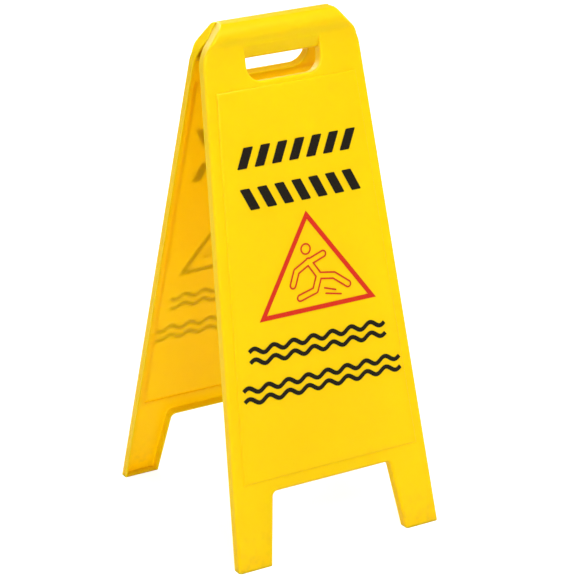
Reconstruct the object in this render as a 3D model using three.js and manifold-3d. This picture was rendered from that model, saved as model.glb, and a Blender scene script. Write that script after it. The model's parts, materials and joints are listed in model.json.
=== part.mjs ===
// A two-leaf folding floor sign, standing open on its four feet.
// Millimetres, +Z up. The origin is on the floor, midway between the feet of the two leaves.
// The front leaf faces -Y. X runs across the leaves and along the hinge.
import * as THREE from "three";
import { mergeVertices } from "three/addons/utils/BufferGeometryUtils.js";
import Module from "manifold-3d";

const wasm = await Module();
wasm.setup();

const radians = THREE.MathUtils.degToRad;

// Stance: each leaf leans this far from upright when the sign stands open.
const LEAN = radians(13.16);
const BELOW_HINGE = 645.5; // along a leaf, from the hinge line to the front edge of a foot
const FACE_OFFSET = 13.5; // from the hinge line out to the face of a leaf
const MIDPLANE_GAP = 0.5; // half the gap between the rims of the folded leaves
const ROLL_GAP = 0.6; // the same between their rolls

// Leaf outline, half of it, measured from the centre line.
const FOOT_HALF_WIDTH = 143.4;
const SIDE_TAPER = 0.0586; // how much narrower per millimetre of height
const LEG_INNER_AT_FOOT = 96.5;
const LEG_INNER_TAPER = 0.1416;
const CUTOUT_HEIGHT = 90.4;
const CUTOUT_CORNER = 7;
const FOOT_ALLOWANCE = 8; // length left below the floor line, then cut flat
const SHOULDER = { y: -36.8, radius: 45 };
const SHOULDER_SLOPE = radians(40.5); // direction that the slanting part of the shoulder faces

// Mouldings.
const WALL = 2.5;
const EDGE_RADIUS = 3.8;
const END_WALL = 2.8;
const SLAB_TOP = -4; // the flat part of a leaf ends inside the rolled head, just under the hinge line

// Raised field that carries the message.
const FIELD_MARGIN = 13.4;
const FIELD_BOTTOM = -538.7;
const FIELD_TOP = -64.7;
const FIELD_RAISE = 1.8;
const FIELD_BORDER = 3; // width of the slope round the field

// Hand slot, just below the rolled head.
const SLOT_HALF_WIDTH = 51;
const SLOT_BOTTOM = -58.5;
const SLOT_CORNER = 19;
const SLOT_LIP = 2.4; // radius of the rounded lip on the face

// Rolled head: a barrel round the hinge line, with a flat strip along its top. Below the barrel each
// leaf's roll is drawn down to a blunt nose, which the fingers close round.
const BARREL_RADIUS = 18.5;
const NOSE = { out: 4.6, down: 26, radius: 4 };
const HEAD_WALL = 3;
const STRIP_HEIGHT = 17.1; // flat strip above the hinge line
const HEAD_END_RADIUS = 5; // rounding of the head's two ends
const HOOD_END = radians(27.4); // the front leaf's hood reaches this far behind the top
const STOP_GAP = radians(0.9); // between the hood and the rear leaf's stop face

// Angles round the hinge run from the top of the standing sign towards the leaf's face.
const FACE_ANGLE = Math.PI / 2 - LEAN;
const NOSE_REACH = Math.hypot(NOSE.out, NOSE.down);
const NOSE_ANGLE = Math.atan2(NOSE.out, -NOSE.down) - LEAN;
const NOSE_TURN = Math.acos((BARREL_RADIUS - NOSE.radius) / NOSE_REACH);
const NOSE_FROM = NOSE_ANGLE - NOSE_TURN; // the roll leaves the barrel here, in a straight line to the nose

// The rear leaf's tongue runs under the hood, so that the folded head has no open gap.
const TONGUE = { outer: 13.4, inner: 11, tip: radians(-5), root: radians(37), halfLength: 66 };

// Hinge rod, and the clips that snap over it.
const ROD_RADIUS = 3;
const ROD_HALF_LENGTH = 70;
const RUNNING_GAP = 0.3;
const CLIP = { radius: 7, width: 6, mouth: 5.2, webFrom: radians(48), webTo: radians(104) };
const FRONT_CLIPS = [-58, 0, 58];
const REAR_CLIPS = [-51, -7, 7, 51];
const CAP = { radius: 5.5, inner: 62.5, outer: 72.5, chamfer: 0.8 };

const ARC_STEP = radians(6);
const SHORTEST_STEP = 0.15; // of an arc, as a share of its usual step
const NOSE_SEGMENTS = 8;
const ROUND_SIDES = 24; // of the rod and its caps
const CORNER_SEGMENTS = 10;
const ROUNDING_SEGMENTS = 5;
const MERGE_DISTANCE = 1e-4;
const HINGE_HEIGHT = BELOW_HINGE * Math.cos(LEAN) - FACE_OFFSET * Math.sin(LEAN);
const FAR = 400; // longer than anything that a cutting block has to reach
const CUT_PAST = 1; // how far a small cutting block runs past what it cuts
const OVER_HEAD = BARREL_RADIUS + 2 * CUT_PAST; // height of an outline that takes in the whole head

const yellowPlastic = new THREE.MeshStandardMaterial({ color: 0xfcd406, roughness: 0.42, metalness: 0 });
const zincSteel = new THREE.MeshStandardMaterial({ color: 0xb4b6b8, roughness: 0.35, metalness: 1 });
const blackNylon = new THREE.MeshStandardMaterial({ color: 0x1c1c1d, roughness: 0.5, metalness: 0 });

// ---- helpers ----

function solidOf(geometry) {
  geometry.deleteAttribute("normal");
  geometry.deleteAttribute("uv");
  const merged = mergeVertices(geometry, MERGE_DISTANCE);
  return new wasm.Manifold(
    new wasm.Mesh({
      numProp: 3,
      vertProperties: merged.attributes.position.array,
      triVerts: new Uint32Array(merged.index.array),
    }),
  );
}

function meshOf(name, solid, material) {
  const { vertProperties, triVerts } = solid.getMesh();
  const geometry = new THREE.BufferGeometry();
  geometry.setAttribute("position", new THREE.BufferAttribute(vertProperties, 3));
  geometry.setIndex(new THREE.BufferAttribute(triVerts, 1));
  geometry.computeVertexNormals();
  const mesh = new THREE.Mesh(geometry, material);
  mesh.name = name;
  return mesh;
}

// A plate of this outline between two depths, measured out from the hinge line.
function plate(shape, from, to) {
  const geometry = new THREE.ExtrudeGeometry(shape, {
    depth: to - from,
    bevelEnabled: false,
    curveSegments: CORNER_SEGMENTS,
  });
  return solidOf(geometry.translate(0, 0, from));
}

// The same with both of its edges rounded, by this much in depth and this much across the plate.
// A negative width flares the ends outwards, which is the shape of a hole with a rounded lip.
function roundedPlate(shape, from, to, radius, width = radius) {
  const geometry = new THREE.ExtrudeGeometry(shape, {
    depth: to - from - 2 * radius,
    bevelEnabled: true,
    bevelThickness: radius,
    bevelSize: width,
    bevelOffset: -width,
    bevelSegments: ROUNDING_SEGMENTS,
    curveSegments: CORNER_SEGMENTS,
  });
  return solidOf(geometry.translate(0, 0, from + radius));
}

// A section drawn across the hinge (x to the rear, y up, in the standing sign), run along it.
function alongHinge(points, from, to) {
  const geometry = new THREE.ExtrudeGeometry(new THREE.Shape(points), {
    depth: to - from,
    bevelEnabled: false,
  });
  geometry.rotateY(Math.PI / 2).translate(from, 0, 0).rotateX(LEAN);
  return solidOf(geometry);
}

// A point at this radius and angle round the hinge.
function polar(radius, angle) {
  return new THREE.Vector2(-radius * Math.sin(angle), radius * Math.cos(angle));
}

// Every arc has its corners on one set of directions, so that surfaces that meet along one lie flush.
function arc(radius, from, to) {
  if (from > to) return arc(radius, to, from).reverse();
  const angles = [from];
  const first = Math.ceil((from - NOSE_FROM) / ARC_STEP + SHORTEST_STEP);
  const last = Math.floor((to - NOSE_FROM) / ARC_STEP - SHORTEST_STEP);
  for (let k = first; k <= last; k += 1) angles.push(NOSE_FROM + k * ARC_STEP);
  angles.push(to);
  return angles.map((angle) => polar(radius, angle));
}

function band(inner, outer, from, to) {
  return [...arc(outer, from, to), ...arc(inner, to, from)];
}

// Everything lower than a level, which is given from the hinge line of the standing sign.
function below(level) {
  const block = new THREE.BoxGeometry(FAR, FAR, FAR).translate(0, level - FAR / 2, 0);
  return solidOf(block.rotateX(LEAN));
}

// ---- leaf ----

function sideX(y, inset) {
  return FOOT_HALF_WIDTH - SIDE_TAPER * (y + BELOW_HINGE) - inset;
}

function legInnerX(y, inset) {
  return LEG_INNER_AT_FOOT - LEG_INNER_TAPER * (y + BELOW_HINGE) + inset;
}

// The leaf's outline, moved in by an inset, from below the floor line up to a given height.
function leafOutline(inset, top) {
  const foot = -BELOW_HINGE - FOOT_ALLOWANCE;
  const crotch = CUTOUT_HEIGHT - BELOW_HINGE + inset;
  const corner = CUTOUT_CORNER + inset;
  const radius = SHOULDER.radius - inset;
  const sideFacing = Math.atan(SIDE_TAPER);
  const shoulderX = sideX(SHOULDER.y, 0) - SHOULDER.radius / Math.cos(sideFacing);
  const slopeFoot = {
    x: shoulderX + radius * Math.cos(SHOULDER_SLOPE),
    y: SHOULDER.y + radius * Math.sin(SHOULDER_SLOPE),
  };
  const topX = slopeFoot.x - (top - slopeFoot.y) * Math.tan(SHOULDER_SLOPE);
  const legTurn = Math.atan(LEG_INNER_TAPER);
  const cornerY = crotch - corner;
  const cornerX = legInnerX(cornerY, inset) - corner / Math.cos(legTurn);
  const shape = new THREE.Shape();
  shape.moveTo(legInnerX(foot, inset), foot);
  shape.lineTo(sideX(foot, inset), foot);
  shape.absarc(shoulderX, SHOULDER.y, radius, sideFacing, SHOULDER_SLOPE, false);
  shape.lineTo(topX, top);
  shape.lineTo(-topX, top);
  shape.absarc(-shoulderX, SHOULDER.y, radius, Math.PI - SHOULDER_SLOPE, Math.PI - sideFacing, false);
  shape.lineTo(-sideX(foot, inset), foot);
  shape.lineTo(-legInnerX(foot, inset), foot);
  shape.absarc(-cornerX, cornerY, corner, Math.PI - legTurn, Math.PI / 2, true);
  shape.absarc(cornerX, cornerY, corner, Math.PI / 2, legTurn, true);
  shape.closePath();
  return shape;
}

function fieldOutline(inset) {
  const bottom = FIELD_BOTTOM + inset;
  const top = FIELD_TOP - inset;
  const xBottom = sideX(bottom, FIELD_MARGIN + inset);
  const xTop = sideX(top, FIELD_MARGIN + inset);
  return new THREE.Shape([
    new THREE.Vector2(-xBottom, bottom),
    new THREE.Vector2(xBottom, bottom),
    new THREE.Vector2(xTop, top),
    new THREE.Vector2(-xTop, top),
  ]);
}

// The slot's outline runs up into the rolled head, which closes it at the top.
function slotOutline(inset) {
  const half = SLOT_HALF_WIDTH + inset;
  const bottom = SLOT_BOTTOM - inset;
  const corner = SLOT_CORNER + inset;
  const shape = new THREE.Shape();
  shape.moveTo(half, 0);
  shape.lineTo(-half, 0);
  shape.absarc(-half + corner, bottom + corner, corner, Math.PI, 1.5 * Math.PI, false);
  shape.absarc(half - corner, bottom + corner, corner, 1.5 * Math.PI, 2 * Math.PI, false);
  shape.closePath();
  return shape;
}

// The whole roll, barrel and nose together, moved in by an inset.
function roll(inset) {
  const noseCentre = polar(NOSE_REACH, NOSE_ANGLE);
  const noseStep = (2 * NOSE_TURN) / NOSE_SEGMENTS;
  const nose = Array.from({ length: NOSE_SEGMENTS + 1 }, (_, i) =>
    polar(NOSE.radius - inset, NOSE_FROM + i * noseStep).add(noseCentre),
  );
  const behind = NOSE_FROM + 2 * NOSE_TURN - 2 * Math.PI;
  const barrel = arc(BARREL_RADIUS - inset, behind, NOSE_FROM);
  return alongHinge([...barrel, ...nose], -FAR / 2, FAR / 2);
}

// The room that a leaf's own part of the roll may fill: from this angle, over the top or behind it,
// round to the plane between the two rolls.
function share(from) {
  const apex = polar(ROLL_GAP, FACE_ANGLE);
  const reach = 3 * BARREL_RADIUS;
  const foot = polar(reach, FACE_ANGLE + Math.PI / 2).add(apex);
  return alongHinge([apex, ...arc(reach, from, FACE_ANGLE), foot], -FAR / 2, FAR / 2);
}

function clip(centre) {
  const from = centre - CLIP.width / 2;
  const to = centre + CLIP.width / 2;
  const bore = ROD_RADIUS + RUNNING_GAP;
  const wallMiddle = BARREL_RADIUS - HEAD_WALL / 2;
  const ring = alongHinge(arc(CLIP.radius, 0, 2 * Math.PI).slice(0, -1), from, to);
  const web = alongHinge(band(bore, wallMiddle, CLIP.webFrom, CLIP.webTo), from, to);
  const hole = alongHinge(arc(bore, 0, 2 * Math.PI).slice(0, -1), from - CUT_PAST, to + CUT_PAST);
  const mouthDepth = CLIP.radius + CUT_PAST;
  const mouth = new THREE.BoxGeometry(CLIP.width + 2 * CUT_PAST, CLIP.mouth, mouthDepth);
  mouth.translate(centre, 0, -mouthDepth / 2);
  return ring.add(web).subtract(hole).subtract(solidOf(mouth));
}

// One leaf in its own frame: the hinge line is X, Y runs up the leaf and Z out of its face.
function leaf(headStart, clips) {
  const inside = -3 * EDGE_RADIUS; // far enough in for the rounding there to be trimmed away
  const behindRim = new THREE.BoxGeometry(FAR, 2 * FAR, FAR);
  behindRim.translate(0, -FAR, MIDPLANE_GAP - FAR / 2);

  const slab = roundedPlate(leafOutline(0, SLAB_TOP), inside, FACE_OFFSET, EDGE_RADIUS)
    .subtract(solidOf(behindRim))
    .subtract(below(-HINGE_HEIGHT));
  const fieldTop = FACE_OFFSET + FIELD_RAISE;
  const field = roundedPlate(fieldOutline(0), FACE_OFFSET - WALL, fieldTop, FIELD_RAISE, FIELD_BORDER);
  const head = roll(0)
    .intersect(share(headStart))
    .intersect(below(STRIP_HEIGHT))
    .intersect(roundedPlate(leafOutline(0, OVER_HEAD), -BARREL_RADIUS, BARREL_RADIUS, HEAD_END_RADIUS));

  const cavityFace = FACE_OFFSET - WALL;
  const slabHollow = roundedPlate(leafOutline(WALL, SLAB_TOP), inside, cavityFace, EDGE_RADIUS - WALL)
    .subtract(below(WALL - HINGE_HEIGHT));
  const fieldHollow = plate(fieldOutline(FIELD_BORDER + WALL / 2), 0, cavityFace + FIELD_RAISE);
  const innerRadius = BARREL_RADIUS - HEAD_WALL;
  const headHollow = roll(HEAD_WALL)
    .intersect(below(STRIP_HEIGHT - HEAD_WALL))
    .intersect(roundedPlate(leafOutline(END_WALL, OVER_HEAD), -innerRadius, innerRadius, HEAD_END_RADIUS));

  const slotHole = roundedPlate(slotOutline(0), -FACE_OFFSET, FACE_OFFSET, SLOT_LIP, -SLOT_LIP)
    .add(plate(slotOutline(SLOT_LIP), FACE_OFFSET, 2 * FACE_OFFSET))
    .subtract(roll(0));
  const collar = plate(slotOutline(WALL), MIDPLANE_GAP, FACE_OFFSET - WALL / 2)
    .subtract(roll(HEAD_WALL / 2));

  let made = slab.add(field).subtract(slabHollow).subtract(fieldHollow).add(head);
  made = made.subtract(headHollow).add(collar).subtract(slotHole);
  for (const centre of clips) made = made.add(clip(centre));
  return made;
}

function frontLeaf() {
  return leaf(-HOOD_END, FRONT_CLIPS);
}

function rearLeaf() {
  const stop = HOOD_END + STOP_GAP;
  const { outer, inner, tip, root, halfLength } = TONGUE;
  const step = alongHinge(band(inner, BARREL_RADIUS - HEAD_WALL / 2, stop, root), -halfLength, halfLength);
  const tongue = alongHinge(band(inner, outer, tip, root), -halfLength, halfLength);
  return leaf(stop, REAR_CLIPS).add(step).add(tongue);
}

// ---- hinge parts ----

function hingeRod() {
  const geometry = new THREE.CylinderGeometry(ROD_RADIUS, ROD_RADIUS, 2 * ROD_HALF_LENGTH, ROUND_SIDES);
  return solidOf(geometry.rotateZ(Math.PI / 2));
}

// A push-on cap with a blind bore, on the rod's end at the +X side.
function rodCap() {
  const { radius, inner, outer, chamfer } = CAP;
  const bore = ROD_RADIUS + RUNNING_GAP;
  const boreEnd = ROD_HALF_LENGTH + RUNNING_GAP;
  const profile = [
    [bore, inner],
    [radius, inner],
    [radius, outer - chamfer],
    [radius - chamfer, outer],
    [0, outer],
    [0, boreEnd],
    [bore, boreEnd],
    [bore, inner],
  ].map(([r, y]) => new THREE.Vector2(r, y));
  return solidOf(new THREE.LatheGeometry(profile, ROUND_SIDES).rotateZ(-Math.PI / 2));
}

// ---- assembly ----

function leafStance() {
  const stance = new THREE.Group();
  stance.rotation.x = Math.PI / 2 - LEAN;
  return stance;
}

const sign = new THREE.Group();
const hinge = new THREE.Group();
hinge.position.z = HINGE_HEIGHT;
sign.add(hinge);

const front = leafStance();
front.add(meshOf("front_panel", frontLeaf(), yellowPlastic));
hinge.add(front);

const rearSide = new THREE.Group();
rearSide.rotation.z = Math.PI;
const rear = leafStance();
rear.add(meshOf("rear_panel", rearLeaf(), yellowPlastic));
rearSide.add(rear);
hinge.add(rearSide);

hinge.add(meshOf("hinge_rod", hingeRod(), zincSteel));
hinge.add(meshOf("right_rod_cap", rodCap(), blackNylon));
const leftCap = meshOf("left_rod_cap", rodCap(), blackNylon);
leftCap.rotation.z = Math.PI;
hinge.add(leftCap);

export default sign;
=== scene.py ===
# %% [markdown]
# # A folding floor sign
# Two moulded plastic leaves hang on one steel rod and stand like a tent on four feet. Each leaf is a
# shallow tray: a flat face, a rim turned inwards all round, a raised field for the printed message,
# and a rolled head with a hand slot under it.
#
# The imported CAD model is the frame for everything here. It already has every piece at its true size
# and place, so this lesson never measures anything by eye: it asks the frame.

# %% Load the frame
import json
import math

import bmesh
import bpy
from mathutils import Matrix, Vector


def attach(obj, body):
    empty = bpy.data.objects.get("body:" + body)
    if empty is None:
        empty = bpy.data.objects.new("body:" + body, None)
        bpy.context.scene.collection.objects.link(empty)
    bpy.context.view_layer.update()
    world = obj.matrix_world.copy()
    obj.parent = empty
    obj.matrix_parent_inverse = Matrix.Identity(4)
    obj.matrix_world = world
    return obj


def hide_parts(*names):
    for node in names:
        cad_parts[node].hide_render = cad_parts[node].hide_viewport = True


MM = 0.001
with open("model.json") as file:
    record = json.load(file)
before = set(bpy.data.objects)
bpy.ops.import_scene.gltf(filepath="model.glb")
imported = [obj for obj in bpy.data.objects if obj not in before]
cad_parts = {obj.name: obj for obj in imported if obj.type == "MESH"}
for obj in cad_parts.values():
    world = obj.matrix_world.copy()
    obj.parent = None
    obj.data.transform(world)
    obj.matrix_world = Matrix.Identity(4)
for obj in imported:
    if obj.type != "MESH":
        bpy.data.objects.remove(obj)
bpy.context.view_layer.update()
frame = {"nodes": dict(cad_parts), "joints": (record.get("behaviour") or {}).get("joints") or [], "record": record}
record = frame["record"]
print("nodes:", sorted(frame["nodes"]))

# %% [markdown]
# ## The leaf's own axes
# A leaf leans, so its print and its edges are easiest to describe on the leaf itself, as on a sheet of
# paper: `across` runs along the hinge, `up` runs up the face, and `out` points straight out of it. The
# record has a mount on the message field, with a point on it and the direction it faces. Together with
# the hinge that is enough to work out one matrix that carries paper millimetres onto the leaf.

# %% Matrices from leaf millimetres to the scene
BELOW_HINGE = 645.5  # along a leaf, from the hinge line to the front edge of a foot
field_mount = next(m for m in record["mounts"] if m["name"] == "front_message_field")
hinge_point = Vector(frame["joints"][0]["pos_m"])
out = Vector(field_mount["axis"]).normalized()
across = Vector((1, 0, 0))
up = out.cross(across)
on_leaf = Matrix((across, up, out)).transposed().to_4x4()
FRONT = Matrix.Translation(hinge_point) @ on_leaf @ Matrix.Scale(MM, 4)
REAR = Matrix.Rotation(math.pi, 4, "Z") @ FRONT
FIELD_FACE = (FRONT.inverted() @ Vector(field_mount["pos_m"])).z
print("field face, mm out from the hinge line:", round(FIELD_FACE, 3))

# %% [markdown]
# ## The camera
# The sign is seen from the left of its front, a little from above, through a long lens: its edges stay
# nearly parallel. A camera looks along its own -Z axis, so it is turned by three plain turns, one for
# each of the angles below, and then moved back along the line of sight.

# %% Camera
CAMERA_TARGET = Vector((0.0174, 0.0, 0.2860))
CAMERA_DISTANCE = 3.1517
CAMERA_AZIMUTH = math.radians(-30.084)
CAMERA_ELEVATION = math.radians(22.079)
CAMERA_ROLL = math.radians(-0.104)
scene = bpy.context.scene
camera = bpy.data.objects.new("camera", bpy.data.cameras.new("camera"))
camera.data.lens = 157.76
camera.data.sensor_width = 36.0
camera.data.clip_end = 50.0
turn = (
    Matrix.Rotation(CAMERA_AZIMUTH, 4, "Z")
    @ Matrix.Rotation(math.pi / 2 - CAMERA_ELEVATION, 4, "X")
    @ Matrix.Rotation(CAMERA_ROLL, 4, "Z")
)
camera.matrix_world = Matrix.Translation(CAMERA_TARGET) @ turn @ Matrix.Translation((0, 0, CAMERA_DISTANCE))
scene.collection.objects.link(camera)
scene.camera = camera
print("camera at", [round(v, 3) for v in camera.matrix_world.translation])

# %% [markdown]
# ## The yellow plastic
# The leaves are injection-moulded polypropylene, coloured right through. Up close it is never one flat
# yellow: the melt leaves broad pale and deep clouds, the mould leaves a fine spark-eroded grain, the
# sign is leaned against walls and gathers hairline scratches, and dirt from the floor stays on the feet.
#
# All of that comes from noise on Object coordinates, which are metres on the sign itself, so the marks
# keep their true size and stay put when the sign turns or folds. Each effect has its own frame of nodes.

# %% Material of the leaves
def moulded_plastic(name, colour, deep_colour, grime_colour, roughness):
    material = bpy.data.materials.new(name)
    material.use_nodes = True
    tree = material.node_tree
    nodes, links = tree.nodes, tree.links
    nodes.clear()

    output = nodes.new("ShaderNodeOutputMaterial")
    output.label = "Surface"
    output.location = (1200, 0)
    plastic = nodes.new("ShaderNodeBsdfPrincipled")
    plastic.label = "Coloured polypropylene"
    plastic.location = (900, 0)
    plastic.inputs["IOR"].default_value = 1.49
    plastic.inputs["Specular IOR Level"].default_value = 0.18
    plastic.inputs["Subsurface Weight"].default_value = 1.0
    plastic.inputs["Subsurface Radius"].default_value = (1.0, 0.85, 0.07)
    plastic.inputs["Subsurface Scale"].default_value = 0.010
    links.new(plastic.outputs["BSDF"], output.inputs["Surface"])
    place = nodes.new("ShaderNodeTexCoord")
    place.label = "Metres on the sign"
    place.location = (-1300, 0)

    clouds_frame = nodes.new("NodeFrame")
    clouds_frame.label = "Clouds in the melt"
    clouds = nodes.new("ShaderNodeTexNoise")
    clouds.label = "Broad clouds, about 15 cm"
    clouds.location = (-900, 500)
    clouds.inputs["Scale"].default_value = 7.0
    clouds.inputs["Detail"].default_value = 3.0
    clouds.inputs["Roughness"].default_value = 0.55
    links.new(place.outputs["Object"], clouds.inputs["Vector"])
    cloud_colour = nodes.new("ShaderNodeValToRGB")
    cloud_colour.label = "Pale yellow to deep yellow"
    cloud_colour.location = (-650, 500)
    cloud_colour.color_ramp.elements[0].position = 0.25
    cloud_colour.color_ramp.elements[0].color = deep_colour
    cloud_colour.color_ramp.elements[1].position = 0.75
    cloud_colour.color_ramp.elements[1].color = colour
    links.new(clouds.outputs["Fac"], cloud_colour.inputs["Fac"])
    for node in (clouds, cloud_colour):
        node.parent = clouds_frame

    feet_frame = nodes.new("NodeFrame")
    feet_frame.label = "Floor dirt on the feet"
    height = nodes.new("ShaderNodeSeparateXYZ")
    height.label = "Height above the floor"
    height.location = (-900, 150)
    links.new(place.outputs["Object"], height.inputs["Vector"])
    near_floor = nodes.new("ShaderNodeMapRange")
    near_floor.label = "Fades out 6 cm up"
    near_floor.location = (-650, 150)
    near_floor.inputs["From Min"].default_value = 0.0
    near_floor.inputs["From Max"].default_value = 0.06
    near_floor.inputs["To Min"].default_value = 0.16
    near_floor.inputs["To Max"].default_value = 0.0
    links.new(height.outputs["Z"], near_floor.inputs["Value"])
    dirt = nodes.new("ShaderNodeTexNoise")
    dirt.label = "Speckled dirt, 8 mm and finer"
    dirt.location = (-650, -120)
    dirt.inputs["Scale"].default_value = 120.0
    dirt.inputs["Detail"].default_value = 5.0
    links.new(place.outputs["Object"], dirt.inputs["Vector"])
    dirt_patches = nodes.new("ShaderNodeMapRange")
    dirt_patches.label = "Only the densest specks"
    dirt_patches.location = (-420, -120)
    dirt_patches.inputs["From Min"].default_value = 0.45
    dirt_patches.inputs["From Max"].default_value = 0.7
    links.new(dirt.outputs["Fac"], dirt_patches.inputs["Value"])
    dirt_amount = nodes.new("ShaderNodeMath")
    dirt_amount.label = "Dirt near the floor"
    dirt_amount.operation = "MULTIPLY"
    dirt_amount.location = (-180, 100)
    links.new(near_floor.outputs["Result"], dirt_amount.inputs[0])
    links.new(dirt_patches.outputs["Result"], dirt_amount.inputs[1])
    dirty = nodes.new("ShaderNodeMix")
    dirty.label = "Yellow to floor dirt"
    dirty.data_type = "RGBA"
    dirty.location = (80, 300)
    dirty.inputs["B"].default_value = grime_colour
    links.new(dirt_amount.outputs["Value"], dirty.inputs["Factor"])
    links.new(cloud_colour.outputs["Color"], dirty.inputs["A"])
    for node in (height, near_floor, dirt, dirt_patches, dirt_amount, dirty):
        node.parent = feet_frame
    links.new(dirty.outputs["Result"], plastic.inputs["Base Color"])

    gloss_frame = nodes.new("NodeFrame")
    gloss_frame.label = "Handled gloss"
    handled = nodes.new("ShaderNodeTexNoise")
    handled.label = "Polished and dull patches, 3 cm"
    handled.location = (-650, -420)
    handled.inputs["Scale"].default_value = 30.0
    handled.inputs["Detail"].default_value = 4.0
    links.new(place.outputs["Object"], handled.inputs["Vector"])
    gloss = nodes.new("ShaderNodeMapRange")
    gloss.label = "Roughness"
    gloss.location = (-400, -420)
    gloss.inputs["To Min"].default_value = roughness - 0.07
    gloss.inputs["To Max"].default_value = roughness + 0.09
    links.new(handled.outputs["Fac"], gloss.inputs["Value"])
    links.new(gloss.outputs["Result"], plastic.inputs["Roughness"])
    for node in (handled, gloss):
        node.parent = gloss_frame

    relief_frame = nodes.new("NodeFrame")
    relief_frame.label = "Mould grain and hairline scratches"
    grain = nodes.new("ShaderNodeTexNoise")
    grain.label = "Spark-eroded grain, 0.6 mm"
    grain.location = (-650, -760)
    grain.inputs["Scale"].default_value = 1600.0
    grain.inputs["Detail"].default_value = 2.0
    links.new(place.outputs["Object"], grain.inputs["Vector"])
    grain_bump = nodes.new("ShaderNodeBump")
    grain_bump.label = "Grain"
    grain_bump.location = (-200, -760)
    grain_bump.inputs["Strength"].default_value = 0.12
    grain_bump.inputs["Distance"].default_value = 0.0001
    links.new(grain.outputs["Fac"], grain_bump.inputs["Height"])
    stretched = nodes.new("ShaderNodeMapping")
    stretched.label = "Scratches run mostly downwards"
    stretched.location = (-900, -1050)
    stretched.inputs["Rotation"].default_value = (0.0, 0.35, 0.2)
    stretched.inputs["Scale"].default_value = (420.0, 420.0, 9.0)
    links.new(place.outputs["Object"], stretched.inputs["Vector"])
    scratches = nodes.new("ShaderNodeTexNoise")
    scratches.label = "Hairlines, 2 mm apart and 10 cm long"
    scratches.location = (-650, -1050)
    scratches.inputs["Scale"].default_value = 1.0
    scratches.inputs["Detail"].default_value = 3.0
    links.new(stretched.outputs["Vector"], scratches.inputs["Vector"])
    hairlines = nodes.new("ShaderNodeMapRange")
    hairlines.label = "Only the thin crests"
    hairlines.location = (-420, -1050)
    hairlines.inputs["From Min"].default_value = 0.66
    hairlines.inputs["From Max"].default_value = 0.74
    hairlines.inputs["To Min"].default_value = 0.0
    hairlines.inputs["To Max"].default_value = 1.0
    links.new(scratches.outputs["Fac"], hairlines.inputs["Value"])
    scratch_bump = nodes.new("ShaderNodeBump")
    scratch_bump.label = "Scratches cut in"
    scratch_bump.invert = True
    scratch_bump.location = (50, -900)
    scratch_bump.inputs["Strength"].default_value = 0.25
    scratch_bump.inputs["Distance"].default_value = 0.0001
    links.new(hairlines.outputs["Result"], scratch_bump.inputs["Height"])
    links.new(grain_bump.outputs["Normal"], scratch_bump.inputs["Normal"])
    links.new(scratch_bump.outputs["Normal"], plastic.inputs["Normal"])
    for node in (grain, grain_bump, stretched, scratches, hairlines, scratch_bump):
        node.parent = relief_frame
    return material


yellow = moulded_plastic(
    "yellow plastic",
    colour=(0.98, 0.553, 0.002, 1.0),
    deep_colour=(0.97, 0.520, 0.002, 1.0),
    grime_colour=(0.16, 0.11, 0.04, 1.0),
    roughness=0.38,
)
print("materials:", [m.name for m in bpy.data.materials])

# %% [markdown]
# ## Ink
# The message is screen printed: a film of ink less than a tenth of a millimetre thick. Where the squeegee
# starved the screen the film is a little thin and lets the yellow through, and wiping the sign with
# cleaning cloths has made the surface slightly uneven in gloss. Black and red ink are one make-up in
# two colours, so one function makes both.

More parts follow.
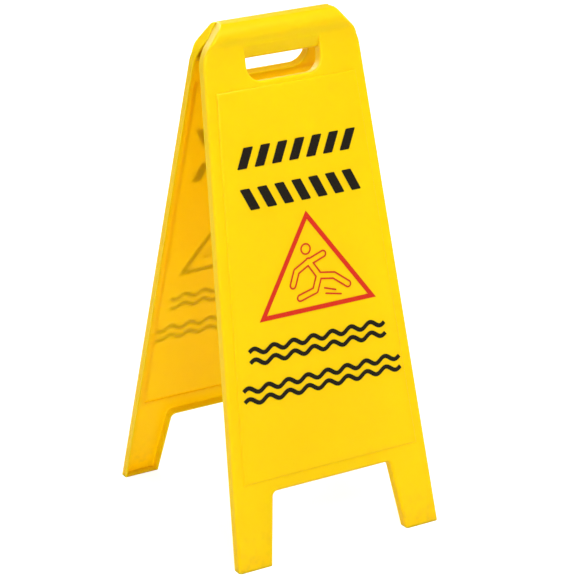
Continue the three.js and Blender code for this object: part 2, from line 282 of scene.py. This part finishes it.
# %% Material of the printed ink
def screen_ink(name, colour, thin_colour, roughness):
    material = bpy.data.materials.new(name)
    material.use_nodes = True
    tree = material.node_tree
    nodes, links = tree.nodes, tree.links
    nodes.clear()
    output = nodes.new("ShaderNodeOutputMaterial")
    output.label = "Surface"
    output.location = (900, 0)
    ink = nodes.new("ShaderNodeBsdfPrincipled")
    ink.label = "Dried ink"
    ink.location = (600, 0)
    ink.inputs["Specular IOR Level"].default_value = 0.2
    links.new(ink.outputs["BSDF"], output.inputs["Surface"])
    place = nodes.new("ShaderNodeTexCoord")
    place.label = "Metres on the sign"
    place.location = (-700, 0)

    cover_frame = nodes.new("NodeFrame")
    cover_frame.label = "Where the ink is thin"
    starved = nodes.new("ShaderNodeTexNoise")
    starved.label = "Starved specks, 1 mm"
    starved.location = (-400, 250)
    starved.inputs["Scale"].default_value = 900.0
    starved.inputs["Detail"].default_value = 4.0
    links.new(place.outputs["Object"], starved.inputs["Vector"])
    cover = nodes.new("ShaderNodeValToRGB")
    cover.label = "Full ink to thin ink"
    cover.location = (-100, 250)
    cover.color_ramp.elements[0].position = 0.56
    cover.color_ramp.elements[0].color = colour
    cover.color_ramp.elements[1].position = 0.82
    cover.color_ramp.elements[1].color = thin_colour
    links.new(starved.outputs["Fac"], cover.inputs["Fac"])
    links.new(cover.outputs["Color"], ink.inputs["Base Color"])
    for node in (starved, cover):
        node.parent = cover_frame

    wiped_frame = nodes.new("NodeFrame")
    wiped_frame.label = "Wiped gloss"
    wiped = nodes.new("ShaderNodeTexNoise")
    wiped.label = "Wiping marks, 2 cm"
    wiped.location = (-400, -100)
    wiped.inputs["Scale"].default_value = 50.0
    wiped.inputs["Detail"].default_value = 3.0
    links.new(place.outputs["Object"], wiped.inputs["Vector"])
    gloss = nodes.new("ShaderNodeMapRange")
    gloss.label = "Roughness"
    gloss.location = (-100, -100)
    gloss.inputs["To Min"].default_value = roughness - 0.08
    gloss.inputs["To Max"].default_value = roughness + 0.08
    links.new(wiped.outputs["Fac"], gloss.inputs["Value"])
    links.new(gloss.outputs["Result"], ink.inputs["Roughness"])
    for node in (wiped, gloss):
        node.parent = wiped_frame

    mesh_frame = nodes.new("NodeFrame")
    mesh_frame.label = "Screen mesh in the film"
    weave = nodes.new("ShaderNodeTexVoronoi")
    weave.label = "Marks of the screen, 0.4 mm"
    weave.location = (-400, -400)
    weave.inputs["Scale"].default_value = 2500.0
    links.new(place.outputs["Object"], weave.inputs["Vector"])
    film = nodes.new("ShaderNodeBump")
    film.label = "Uneven film"
    film.location = (-100, -400)
    film.inputs["Strength"].default_value = 0.1
    film.inputs["Distance"].default_value = 0.00005
    links.new(weave.outputs["Distance"], film.inputs["Height"])
    links.new(film.outputs["Normal"], ink.inputs["Normal"])
    for node in (weave, film):
        node.parent = mesh_frame
    return material


black_ink = screen_ink("black ink", (0.010, 0.007, 0.004, 1.0), (0.05, 0.032, 0.004, 1.0), 0.42)
red_ink = screen_ink("red ink", (0.60, 0.020, 0.006, 1.0), (0.72, 0.085, 0.006, 1.0), 0.42)
print("materials:", [m.name for m in bpy.data.materials])

# %% [markdown]
# ## Steel and nylon
# The rod is drawn wire with a thin zinc plating: drawing leaves fine lines along it, and the plating
# clouds with age. The caps that hold it are black moulded nylon, dull and slightly grey where they rub.
# The lines on the rod are noise squeezed by a Mapping node, so that it changes fast round the rod and
# slowly along it.

# %% Materials of the rod and its caps
def drawn_zinc(name):
    material = bpy.data.materials.new(name)
    material.use_nodes = True
    tree = material.node_tree
    nodes, links = tree.nodes, tree.links
    nodes.clear()
    output = nodes.new("ShaderNodeOutputMaterial")
    output.label = "Surface"
    output.location = (700, 0)
    metal = nodes.new("ShaderNodeBsdfPrincipled")
    metal.label = "Zinc plating"
    metal.location = (400, 0)
    metal.inputs["Metallic"].default_value = 1.0
    links.new(metal.outputs["BSDF"], output.inputs["Surface"])
    place = nodes.new("ShaderNodeTexCoord")
    place.label = "Metres on the sign"
    place.location = (-900, 0)

    bloom_frame = nodes.new("NodeFrame")
    bloom_frame.label = "Clouded plating"
    bloom = nodes.new("ShaderNodeTexNoise")
    bloom.label = "Zinc bloom, 4 mm"
    bloom.location = (-500, 200)
    bloom.inputs["Scale"].default_value = 250.0
    bloom.inputs["Detail"].default_value = 5.0
    links.new(place.outputs["Object"], bloom.inputs["Vector"])
    tint = nodes.new("ShaderNodeValToRGB")
    tint.label = "Dull grey to bright grey"
    tint.location = (-200, 200)
    tint.color_ramp.elements[0].position = 0.35
    tint.color_ramp.elements[0].color = (0.33, 0.34, 0.35, 1.0)
    tint.color_ramp.elements[1].position = 0.7
    tint.color_ramp.elements[1].color = (0.55, 0.56, 0.56, 1.0)
    links.new(bloom.outputs["Fac"], tint.inputs["Fac"])
    links.new(tint.outputs["Color"], metal.inputs["Base Color"])
    gloss = nodes.new("ShaderNodeMapRange")
    gloss.label = "Roughness"
    gloss.location = (-200, -50)
    gloss.inputs["To Min"].default_value = 0.24
    gloss.inputs["To Max"].default_value = 0.46
    links.new(bloom.outputs["Fac"], gloss.inputs["Value"])
    links.new(gloss.outputs["Result"], metal.inputs["Roughness"])
    for node in (bloom, tint, gloss):
        node.parent = bloom_frame

    lines_frame = nodes.new("NodeFrame")
    lines_frame.label = "Drawing lines"
    squeezed = nodes.new("ShaderNodeMapping")
    squeezed.label = "Long along X, fine across"
    squeezed.location = (-700, -350)
    squeezed.inputs["Scale"].default_value = (30.0, 3500.0, 3500.0)
    links.new(place.outputs["Object"], squeezed.inputs["Vector"])
    drawn = nodes.new("ShaderNodeTexNoise")
    drawn.label = "Lines, 0.3 mm apart"
    drawn.location = (-450, -350)
    drawn.inputs["Scale"].default_value = 1.0
    links.new(squeezed.outputs["Vector"], drawn.inputs["Vector"])
    ridges = nodes.new("ShaderNodeBump")
    ridges.label = "Fine ridges"
    ridges.location = (-200, -350)
    ridges.inputs["Strength"].default_value = 0.2
    ridges.inputs["Distance"].default_value = 0.00005
    links.new(drawn.outputs["Fac"], ridges.inputs["Height"])
    links.new(ridges.outputs["Normal"], metal.inputs["Normal"])
    for node in (squeezed, drawn, ridges):
        node.parent = lines_frame
    return material


def rubbed_nylon(name):
    material = bpy.data.materials.new(name)
    material.use_nodes = True
    tree = material.node_tree
    nodes, links = tree.nodes, tree.links
    nodes.clear()
    output = nodes.new("ShaderNodeOutputMaterial")
    output.label = "Surface"
    output.location = (700, 0)
    nylon = nodes.new("ShaderNodeBsdfPrincipled")
    nylon.label = "Black nylon"
    nylon.location = (400, 0)
    links.new(nylon.outputs["BSDF"], output.inputs["Surface"])
    place = nodes.new("ShaderNodeTexCoord")
    place.label = "Metres on the sign"
    place.location = (-700, 0)

    rub_frame = nodes.new("NodeFrame")
    rub_frame.label = "Rubbed grey patches"
    rubbed = nodes.new("ShaderNodeTexNoise")
    rubbed.label = "Rubbed patches, 2 mm"
    rubbed.location = (-400, 150)
    rubbed.inputs["Scale"].default_value = 450.0
    rubbed.inputs["Detail"].default_value = 4.0
    links.new(place.outputs["Object"], rubbed.inputs["Vector"])
    tint = nodes.new("ShaderNodeValToRGB")
    tint.label = "Black to rubbed grey"
    tint.location = (-100, 200)
    tint.color_ramp.elements[0].position = 0.45
    tint.color_ramp.elements[0].color = (0.010, 0.010, 0.011, 1.0)
    tint.color_ramp.elements[1].position = 0.8
    tint.color_ramp.elements[1].color = (0.035, 0.035, 0.036, 1.0)
    links.new(rubbed.outputs["Fac"], tint.inputs["Fac"])
    links.new(tint.outputs["Color"], nylon.inputs["Base Color"])
    gloss = nodes.new("ShaderNodeMapRange")
    gloss.label = "Roughness"
    gloss.location = (-100, -50)
    gloss.inputs["To Min"].default_value = 0.42
    gloss.inputs["To Max"].default_value = 0.62
    links.new(rubbed.outputs["Fac"], gloss.inputs["Value"])
    links.new(gloss.outputs["Result"], nylon.inputs["Roughness"])
    skin = nodes.new("ShaderNodeBump")
    skin.label = "Moulded skin"
    skin.location = (-100, -300)
    skin.inputs["Strength"].default_value = 0.15
    skin.inputs["Distance"].default_value = 0.00005
    links.new(rubbed.outputs["Fac"], skin.inputs["Height"])
    links.new(skin.outputs["Normal"], nylon.inputs["Normal"])
    for node in (rubbed, tint, gloss, skin):
        node.parent = rub_frame
    return material


zinc = drawn_zinc("zinc plated steel")
nylon = rubbed_nylon("black nylon")
print("materials:", [m.name for m in bpy.data.materials])

# %% [markdown]
# ## The moulded pieces
# The CAD leaves have the right shape, but they come as loose triangles with every corner crisp. Each is
# copied, its triangles are joined up again and flat areas are made one face, and only its truly sharp
# edges are marked sharp. Weighted normals then shade the flats flat and the rounded edges smooth,
# which is what makes a moulding look moulded. The rod and the caps are made ready in the same way.

# %% Helpers that copy a CAD node and finish the copy
SAME_PLACE = 0.005 * MM  # corners nearer than this are one corner
FLAT_ANGLE = math.radians(0.4)  # faces that meet at less than this are one flat
SHARP_ANGLE = math.radians(40)  # edges that turn by more than this stay crisp


def joined_copy(node_name, piece_name):
    """The CAD node's shape as a new mesh with shared corners and whole flat faces."""
    mesh = frame["nodes"][node_name].data.copy()
    mesh.materials.clear()
    mesh.name = piece_name
    piece = bpy.data.objects.new(piece_name, mesh)
    scene.collection.objects.link(piece)
    shape = bmesh.new()
    shape.from_mesh(mesh)
    bmesh.ops.remove_doubles(shape, verts=shape.verts, dist=SAME_PLACE)
    bmesh.ops.dissolve_limit(
        shape,
        angle_limit=FLAT_ANGLE,
        use_dissolve_boundaries=False,
        verts=shape.verts,
        edges=shape.edges,
    )
    for edge in shape.edges:
        edge.smooth = edge.calc_face_angle(0.0) < SHARP_ANGLE
    return piece, shape


def finish_piece(piece, shape, material, body, node_name):
    """The copy as a smooth-shaded piece that stands for the CAD node."""
    shape.to_mesh(piece.data)
    shape.free()
    for face in piece.data.polygons:
        face.use_smooth = True
    piece.data.materials.append(material)
    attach(piece, body)
    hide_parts(node_name)
    print(piece.name, len(piece.data.vertices), "corners", len(piece.data.polygons), "faces")


print("sharp edges turn by more than", round(math.degrees(SHARP_ANGLE)), "degrees")

# %% Leaves, rod and caps
FLAT_WEIGHT = 90  # at 50 all faces count alike, and above it large faces count for more
for node_name, piece_name, body, material, slot in (
    ("front_panel", "front_leaf_moulding", "front_leaf", yellow, "yellow_leaf"),
    ("rear_panel", "rear_leaf_moulding", "rear_leaf", yellow, "yellow_leaf"),
    ("hinge_rod", "hinge_rod_wire", "front_leaf", zinc, "rod_steel"),
    ("left_rod_cap", "left_push_cap", "front_leaf", nylon, "cap_nylon"),
    ("right_rod_cap", "right_push_cap", "front_leaf", nylon, "cap_nylon"),
):
    piece, shape = joined_copy(node_name, piece_name)
    finish_piece(piece, shape, material, body, node_name)
    shading = piece.modifiers.new("flat faces stay flat", "WEIGHTED_NORMAL")
    shading.weight = FLAT_WEIGHT
    shading.keep_sharp = True

# %% [markdown]
# ## Laying out the print
# Every printed mark is a thin flat solid. It is drawn on paper millimetres, `x` from the centre line and
# `v` up from the foot's edge, and pushed out from the field by the film's thickness. Rounded bars and
# limbs all come from one idea: put a small circle at each corner and take the convex hull, which is the
# shape of a rubber band stretched round them.

# %% Flat marks
FILM = 0.06  # thickness of the film, with as much again sunk in the plastic
MARK_ROUND = 16  # sides of the small circles at corners
BAR_WIDTH = 13.0
BAR_CORNER = 1.0
BARS = 7  # in each row
WAVE_STEPS = 96


def mark_round(shape, corners, radius):
    """Adds the hull of a circle at each corner, as a solid as thick as the film, both ways from z 0."""
    points = []
    for z in (-FILM, FILM):
        for x, v in corners:
            circle = bmesh.ops.create_circle(
                shape,
                segments=MARK_ROUND,
                radius=radius,
                matrix=Matrix.Translation((x, v - BELOW_HINGE, z)),
            )
            points += circle["verts"]
    hull = bmesh.ops.convex_hull(shape, input=points)
    spare = [g for g in hull["geom_interior"] + hull["geom_unused"] if isinstance(g, bmesh.types.BMVert)]
    bmesh.ops.delete(shape, geom=list(set(spare)), context="VERTS")


def hazard_bars(shape, left, right, bottom, top, slant):
    """A row of slanting bars between two heights, with their outer corners at left and right."""
    pitch = (right - left - abs(slant) - BAR_WIDTH) / (BARS - 1)
    for k in range(BARS):
        foot = left + k * pitch + max(0.0, -slant)
        head = foot + slant
        corners = [
            (foot + BAR_CORNER, bottom + BAR_CORNER),
            (foot + BAR_WIDTH - BAR_CORNER, bottom + BAR_CORNER),
            (head + BAR_WIDTH - BAR_CORNER, top - BAR_CORNER),
            (head + BAR_CORNER, top - BAR_CORNER),
        ]
        mark_round(shape, corners, BAR_CORNER)


def wave_line(shape, left, right, middle, swing, length, width):
    """A wavy stroke of even width, drawn as a straight strip of quads that is then bent."""
    middle_of_strip = Matrix.Translation(((left + right) / 2, 0, -FILM))
    strip = bmesh.ops.create_grid(
        shape,
        x_segments=WAVE_STEPS,
        y_segments=1,
        size=0.5,
        matrix=middle_of_strip @ Matrix.Diagonal((right - left, width, 1, 1)),
    )
    for vert in strip["verts"]:
        x, side = vert.co.x, vert.co.y
        phase = 2 * math.pi * (x - left) / length
        slope = swing * math.cos(phase) * 2 * math.pi / length
        lean = math.atan(slope)
        vert.co.x = x - side * math.sin(lean)
        vert.co.y = middle - BELOW_HINGE + swing * math.sin(phase) + side * math.cos(lean)
    faces = list({f for v in strip["verts"] for f in v.link_faces})
    raised = bmesh.ops.extrude_face_region(shape, geom=faces, use_keep_orig=True)
    top = [g for g in raised["geom"] if isinstance(g, bmesh.types.BMVert)]
    bmesh.ops.translate(shape, verts=top, vec=(0, 0, 2 * FILM))


def print_piece(name, shape, material, body, place):
    """Turns marks on paper into a piece on a leaf."""
    bmesh.ops.transform(shape, matrix=place, verts=shape.verts)
    bmesh.ops.recalc_face_normals(shape, faces=shape.faces)
    mesh = bpy.data.meshes.new(name)
    shape.to_mesh(mesh)
    shape.free()
    mesh.materials.append(material)
    piece = bpy.data.objects.new(name, mesh)
    scene.collection.objects.link(piece)
    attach(piece, body)
    print(name, len(mesh.polygons), "faces")


print("film:", 2 * FILM, "mm through, half of it sunk in")

# %% [markdown]
# ## The warning itself
# The sign says its message without words. Two rows of slanting hazard bars say take care, a red triangle
# holds a slipping figure, and two pairs of wavy lines say that the floor is wet.
#
# The black marks are the bars and the waves. Their heights are measured up the leaf from the foot.

# %% Black marks
HAZARD_ROWS = (  # left, right, bottom, top, slant
    (-81.0, 85.0, 487.0, 512.0, 11.0),
    (-81.0, 84.0, 436.5, 463.0, -11.0),
)
WAVES = (  # left, right, middle, length of one wave
    (-95.0, 96.0, 267.2, 27.3),
    (-95.0, 96.0, 253.8, 27.3),
    (-109.0, 112.0, 221.0, 27.6),
    (-109.0, 112.0, 207.5, 27.6),
)
WAVE_SWING = 3.4
WAVE_WIDTH = 5.4


def black_marks():
    shape = bmesh.new()
    for row in HAZARD_ROWS:
        hazard_bars(shape, *row)
    for left, right, middle, length in WAVES:
        wave_line(shape, left, right, middle, WAVE_SWING, length, WAVE_WIDTH)
    return shape


print("black marks:", len(HAZARD_ROWS), "rows of bars,", len(WAVES), "wavy lines")

# %% [markdown]
# ## The red triangle and its figure
# The triangle is one flat face whose rim is cut off with the inset operator. The figure is an outline
# drawing. Each limb is a rounded bar between two points, and all of them are united with Boolean
# modifiers; the same limbs made thinner are then cut away from the middle, which leaves an even line all
# round the figure. `rounded_bars` makes the bars as helper objects, and `combined` runs the modifiers and
# keeps only the finished mesh, so that no modifier and no helper object is left behind.

# %% Sizes of the red marks
TRIANGLE = ((-70.6, 303.3), (82.7, 303.3), (4.3, 418.0))  # corners of the stroke's middle line
TRIANGLE_STROKE = 5.8
LIMB = 4.9  # half the width of a limb
OUTLINE = 2.1  # width of the line round the figure
HEAD = ((-2.0, 377.0),)
HEAD_RADIUS = 7.4
LIMBS = (
    ((0.0, 361.5), (12.0, 342.0)),
    ((1.0, 360.5), (21.0, 367.0)),
    ((0.0, 361.0), (-18.0, 352.0)),
    ((-18.0, 352.0), (-25.0, 336.0)),
    ((12.5, 341.5), (33.0, 338.0)),
    ((33.0, 338.0), (51.0, 324.0)),
    ((12.0, 341.0), (5.0, 324.5)),
    ((5.0, 324.5), (-17.0, 319.0)),
)
SLIDE_MARKS = (((18.0, 325.0), (33.0, 320.0)), ((19.0, 318.0), (40.0, 313.5)))
CUTTER_HEIGHT = 3.0  # a cutting bar is this many times as tall, so that it cuts right through
print("limbs:", len(LIMBS), "slide marks:", len(SLIDE_MARKS))


# %% Outlines of the figure
def rounded_bars(corner_sets, radius, tall):
    """Helper objects for the Boolean modifiers: rounded bars, `tall` times as thick as the film."""
    made = []
    for corners in corner_sets:
        shape = bmesh.new()
        mark_round(shape, corners, radius)
        bmesh.ops.scale(shape, vec=(1, 1, tall), verts=shape.verts)
        bmesh.ops.recalc_face_normals(shape, faces=shape.faces)
        mesh = bpy.data.meshes.new("limb")
        shape.to_mesh(mesh)
        shape.free()
        limb = bpy.data.objects.new("limb", mesh)
        scene.collection.objects.link(limb)
        made.append(limb)
    return made


def combined(first, others, operation):
    """The mesh of `first` after one Boolean modifier for each of the others."""
    for other in others:
        change = first.modifiers.new("with a limb", "BOOLEAN")
        change.operation = operation
        change.solver = "MANIFOLD"
        change.object = other
    bpy.context.view_layer.update()
    changed = first.evaluated_get(bpy.context.evaluated_depsgraph_get())
    result = bpy.data.meshes.new_from_object(changed)
    first.modifiers.clear()
    return result


def outline(corner_sets, radius):
    """An even line round the shape that the bars make together."""
    outer = rounded_bars(corner_sets, radius, 1.0)
    inner = rounded_bars(corner_sets, radius - OUTLINE, CUTTER_HEIGHT)
    outer[0].data = combined(outer[0], outer[1:], "UNION")
    line = combined(outer[0], inner, "DIFFERENCE")
    for helper in outer + inner:
        bpy.data.objects.remove(helper)
    return line


figure_line = outline(LIMBS, LIMB)
head_line = outline([HEAD], HEAD_RADIUS)
print("figure outline:", len(figure_line.polygons), "faces")


# %% Red marks
def red_marks():
    shape = bmesh.new()
    shape.from_mesh(figure_line)
    shape.from_mesh(head_line)
    for ends in SLIDE_MARKS:
        mark_round(shape, ends, OUTLINE / 2)
    corners = [Vector((x, v - BELOW_HINGE, -FILM)) for x, v in TRIANGLE]
    sides = [(corners[(k + 1) % 3] - corners[(k + 2) % 3]).length for k in range(3)]
    centre = sum((c * s for c, s in zip(corners, sides)), Vector()) / sum(sides)
    inner_radius = (centre - corners[0]).y
    grow = 1 + TRIANGLE_STROKE / 2 / inner_radius
    verts = [shape.verts.new(centre + (c - centre) * grow) for c in corners]
    face = shape.faces.new(verts)
    face.normal_update()
    rim = bmesh.ops.inset_individual(
        shape,
        faces=[face],
        thickness=TRIANGLE_STROKE,
        use_even_offset=True,
    )
    bmesh.ops.delete(shape, geom=[face], context="FACES_ONLY")
    raised = bmesh.ops.extrude_face_region(shape, geom=rim["faces"], use_keep_orig=True)
    top = [g for g in raised["geom"] if isinstance(g, bmesh.types.BMVert)]
    bmesh.ops.translate(shape, verts=top, vec=(0, 0, 2 * FILM))
    return shape


print("triangle stroke:", TRIANGLE_STROKE, "mm")

# %% [markdown]
# ## Both leaves carry the same print
# The marks are drawn once and carried onto each leaf by its matrix. The plastic lets a little light
# through, so the dark print on the outside shows on the inside as a faint, reversed shadow. That comes
# by itself from the plastic's subsurface scattering, and needs no piece of its own.

# %% Print both leaves
on_face = Matrix.Translation((0, 0, FIELD_FACE))
for leaf, leaf_matrix in (("front", FRONT), ("rear", REAR)):
    body = leaf + "_leaf"
    print_piece(leaf + "_black_marks", black_marks(), black_ink, body, leaf_matrix @ on_face)
    print_piece(leaf + "_red_marks", red_marks(), red_ink, body, leaf_matrix @ on_face)

# %% [markdown]
# ## The floor
# A product stands on a sheet of white acrylic that is lit from below, so that its own shadow nearly
# disappears. The sheet is one large square with a matt material. A Light Path node lets the camera see
# the glow, while the glow itself lights nothing, so that the undersides of the sign stay in shade.

# %% Light table
def light_table(name):
    material = bpy.data.materials.new(name)
    material.use_nodes = True
    tree = material.node_tree
    nodes, links = tree.nodes, tree.links
    nodes.clear()
    output = nodes.new("ShaderNodeOutputMaterial")
    output.label = "Surface"
    output.location = (600, 0)
    acrylic = nodes.new("ShaderNodeBsdfPrincipled")
    acrylic.label = "Matt sheet"
    acrylic.location = (0, 200)
    acrylic.inputs["Roughness"].default_value = 0.9
    glow = nodes.new("ShaderNodeEmission")
    glow.label = "Light from below"
    glow.location = (0, -250)
    glow.inputs["Strength"].default_value = 0.62
    lit_sheet = nodes.new("ShaderNodeAddShader")
    lit_sheet.label = "Lit sheet"
    lit_sheet.location = (200, -100)
    links.new(acrylic.outputs["BSDF"], lit_sheet.inputs[0])
    links.new(glow.outputs["Emission"], lit_sheet.inputs[1])
    rays = nodes.new("ShaderNodeLightPath")
    rays.label = "Seen by the camera"
    rays.location = (200, 450)
    seen = nodes.new("ShaderNodeMixShader")
    seen.label = "The glow is seen, but lights nothing"
    seen.location = (400, 0)
    links.new(rays.outputs["Is Camera Ray"], seen.inputs["Fac"])
    links.new(acrylic.outputs["BSDF"], seen.inputs[1])
    links.new(lit_sheet.outputs["Shader"], seen.inputs[2])
    links.new(seen.outputs["Shader"], output.inputs["Surface"])
    place = nodes.new("ShaderNodeTexCoord")
    place.label = "Metres on the floor"
    place.location = (-800, 0)
    cast_frame = nodes.new("NodeFrame")
    cast_frame.label = "Cast sheet"
    clouds = nodes.new("ShaderNodeTexNoise")
    clouds.label = "Faint clouds, half a metre"
    clouds.location = (-550, 0)
    clouds.inputs["Scale"].default_value = 2.0
    links.new(place.outputs["Object"], clouds.inputs["Vector"])
    shade = nodes.new("ShaderNodeValToRGB")
    shade.label = "Two near whites"
    shade.location = (-300, 0)
    shade.color_ramp.elements[0].color = (0.58, 0.58, 0.58, 1.0)
    shade.color_ramp.elements[1].color = (0.62, 0.62, 0.62, 1.0)
    links.new(clouds.outputs["Fac"], shade.inputs["Fac"])
    links.new(shade.outputs["Color"], acrylic.inputs["Base Color"])
    for node in (clouds, shade):
        node.parent = cast_frame
    return material


floor_mesh = bpy.data.meshes.new("floor")
plane = bmesh.new()
bmesh.ops.create_grid(plane, x_segments=1, y_segments=1, size=6.0)
plane.to_mesh(floor_mesh)
plane.free()
floor_mesh.materials.append(light_table("white acrylic"))
floor = bpy.data.objects.new("floor", floor_mesh)
scene.collection.objects.link(floor)
print("floor:", floor.name)

# %% [markdown]
# ## The light
# A white tent gives even light from all round. A glossy surface would show that tent as a milky veil
# over the yellow, so a Light Path node gives rays that come from a reflection a darker room instead,
# and lets the camera see a plain white backdrop. Soft square lamps then model the shape: a key in
# front, a fill from either side, one behind that shines through the rear leaf, and a weak one overhead.

# %% World
world = bpy.data.worlds.new("studio")
world.use_nodes = True
world_nodes, world_links = world.node_tree.nodes, world.node_tree.links
world_nodes.clear()
sky = world_nodes.new("ShaderNodeOutputWorld")
sky.label = "Studio"
sky.location = (800, 0)
reflected = world_nodes.new("ShaderNodeMixShader")
reflected.label = "The gloss sees the dark room"
reflected.location = (350, 0)
looked_at = world_nodes.new("ShaderNodeMixShader")
looked_at.label = "The camera sees the backdrop"
looked_at.location = (580, 0)
rays = world_nodes.new("ShaderNodeLightPath")
rays.label = "Kind of ray"
rays.location = (50, 350)
tent = world_nodes.new("ShaderNodeBackground")
tent.label = "White tent"
tent.location = (50, 0)
tent.inputs["Color"].default_value = (1.0, 1.0, 1.0, 1.0)
tent.inputs["Strength"].default_value = 0.60
room = world_nodes.new("ShaderNodeBackground")
room.label = "Dark room behind the lamps"
room.location = (50, -200)
room.inputs["Color"].default_value = (1.0, 1.0, 1.0, 1.0)
room.inputs["Strength"].default_value = 0.12
backdrop = world_nodes.new("ShaderNodeBackground")
backdrop.label = "White backdrop"
backdrop.location = (350, -200)
backdrop.inputs["Color"].default_value = (1.0, 1.0, 1.0, 1.0)
backdrop.inputs["Strength"].default_value = 1.0
world_links.new(rays.outputs["Is Glossy Ray"], reflected.inputs["Fac"])
world_links.new(tent.outputs["Background"], reflected.inputs[1])
world_links.new(room.outputs["Background"], reflected.inputs[2])
world_links.new(rays.outputs["Is Camera Ray"], looked_at.inputs["Fac"])
world_links.new(reflected.outputs["Shader"], looked_at.inputs[1])
world_links.new(backdrop.outputs["Background"], looked_at.inputs[2])
world_links.new(looked_at.outputs["Shader"], sky.inputs["Surface"])
scene.world = world
print("world:", world.name)


# %% Lamps
def soft_lamp(name, position, size, power):
    lamp = bpy.data.objects.new(name, bpy.data.lights.new(name, "AREA"))
    lamp.data.shape = "SQUARE"
    lamp.data.size = size
    lamp.data.energy = power
    aim = Vector((0, 0, 0.3)) - Vector(position)
    lamp.matrix_world = Matrix.Translation(position) @ aim.to_track_quat("-Z", "Y").to_matrix().to_4x4()
    scene.collection.objects.link(lamp)
    print(name, "at", position)


soft_lamp("key", (-0.1, -1.3, 1.8), 0.9, 27.0)
soft_lamp("left fill", (-2.0, -0.3, 1.1), 1.4, 12.0)
soft_lamp("right fill", (2.0, 0.3, 1.1), 1.4, 12.0)
soft_lamp("back", (0.2, 2.2, 0.9), 1.4, 42.0)
soft_lamp("overhead", (0.0, 0.0, 3.4), 2.6, 4.0)
scene.view_settings.view_transform = "Standard"
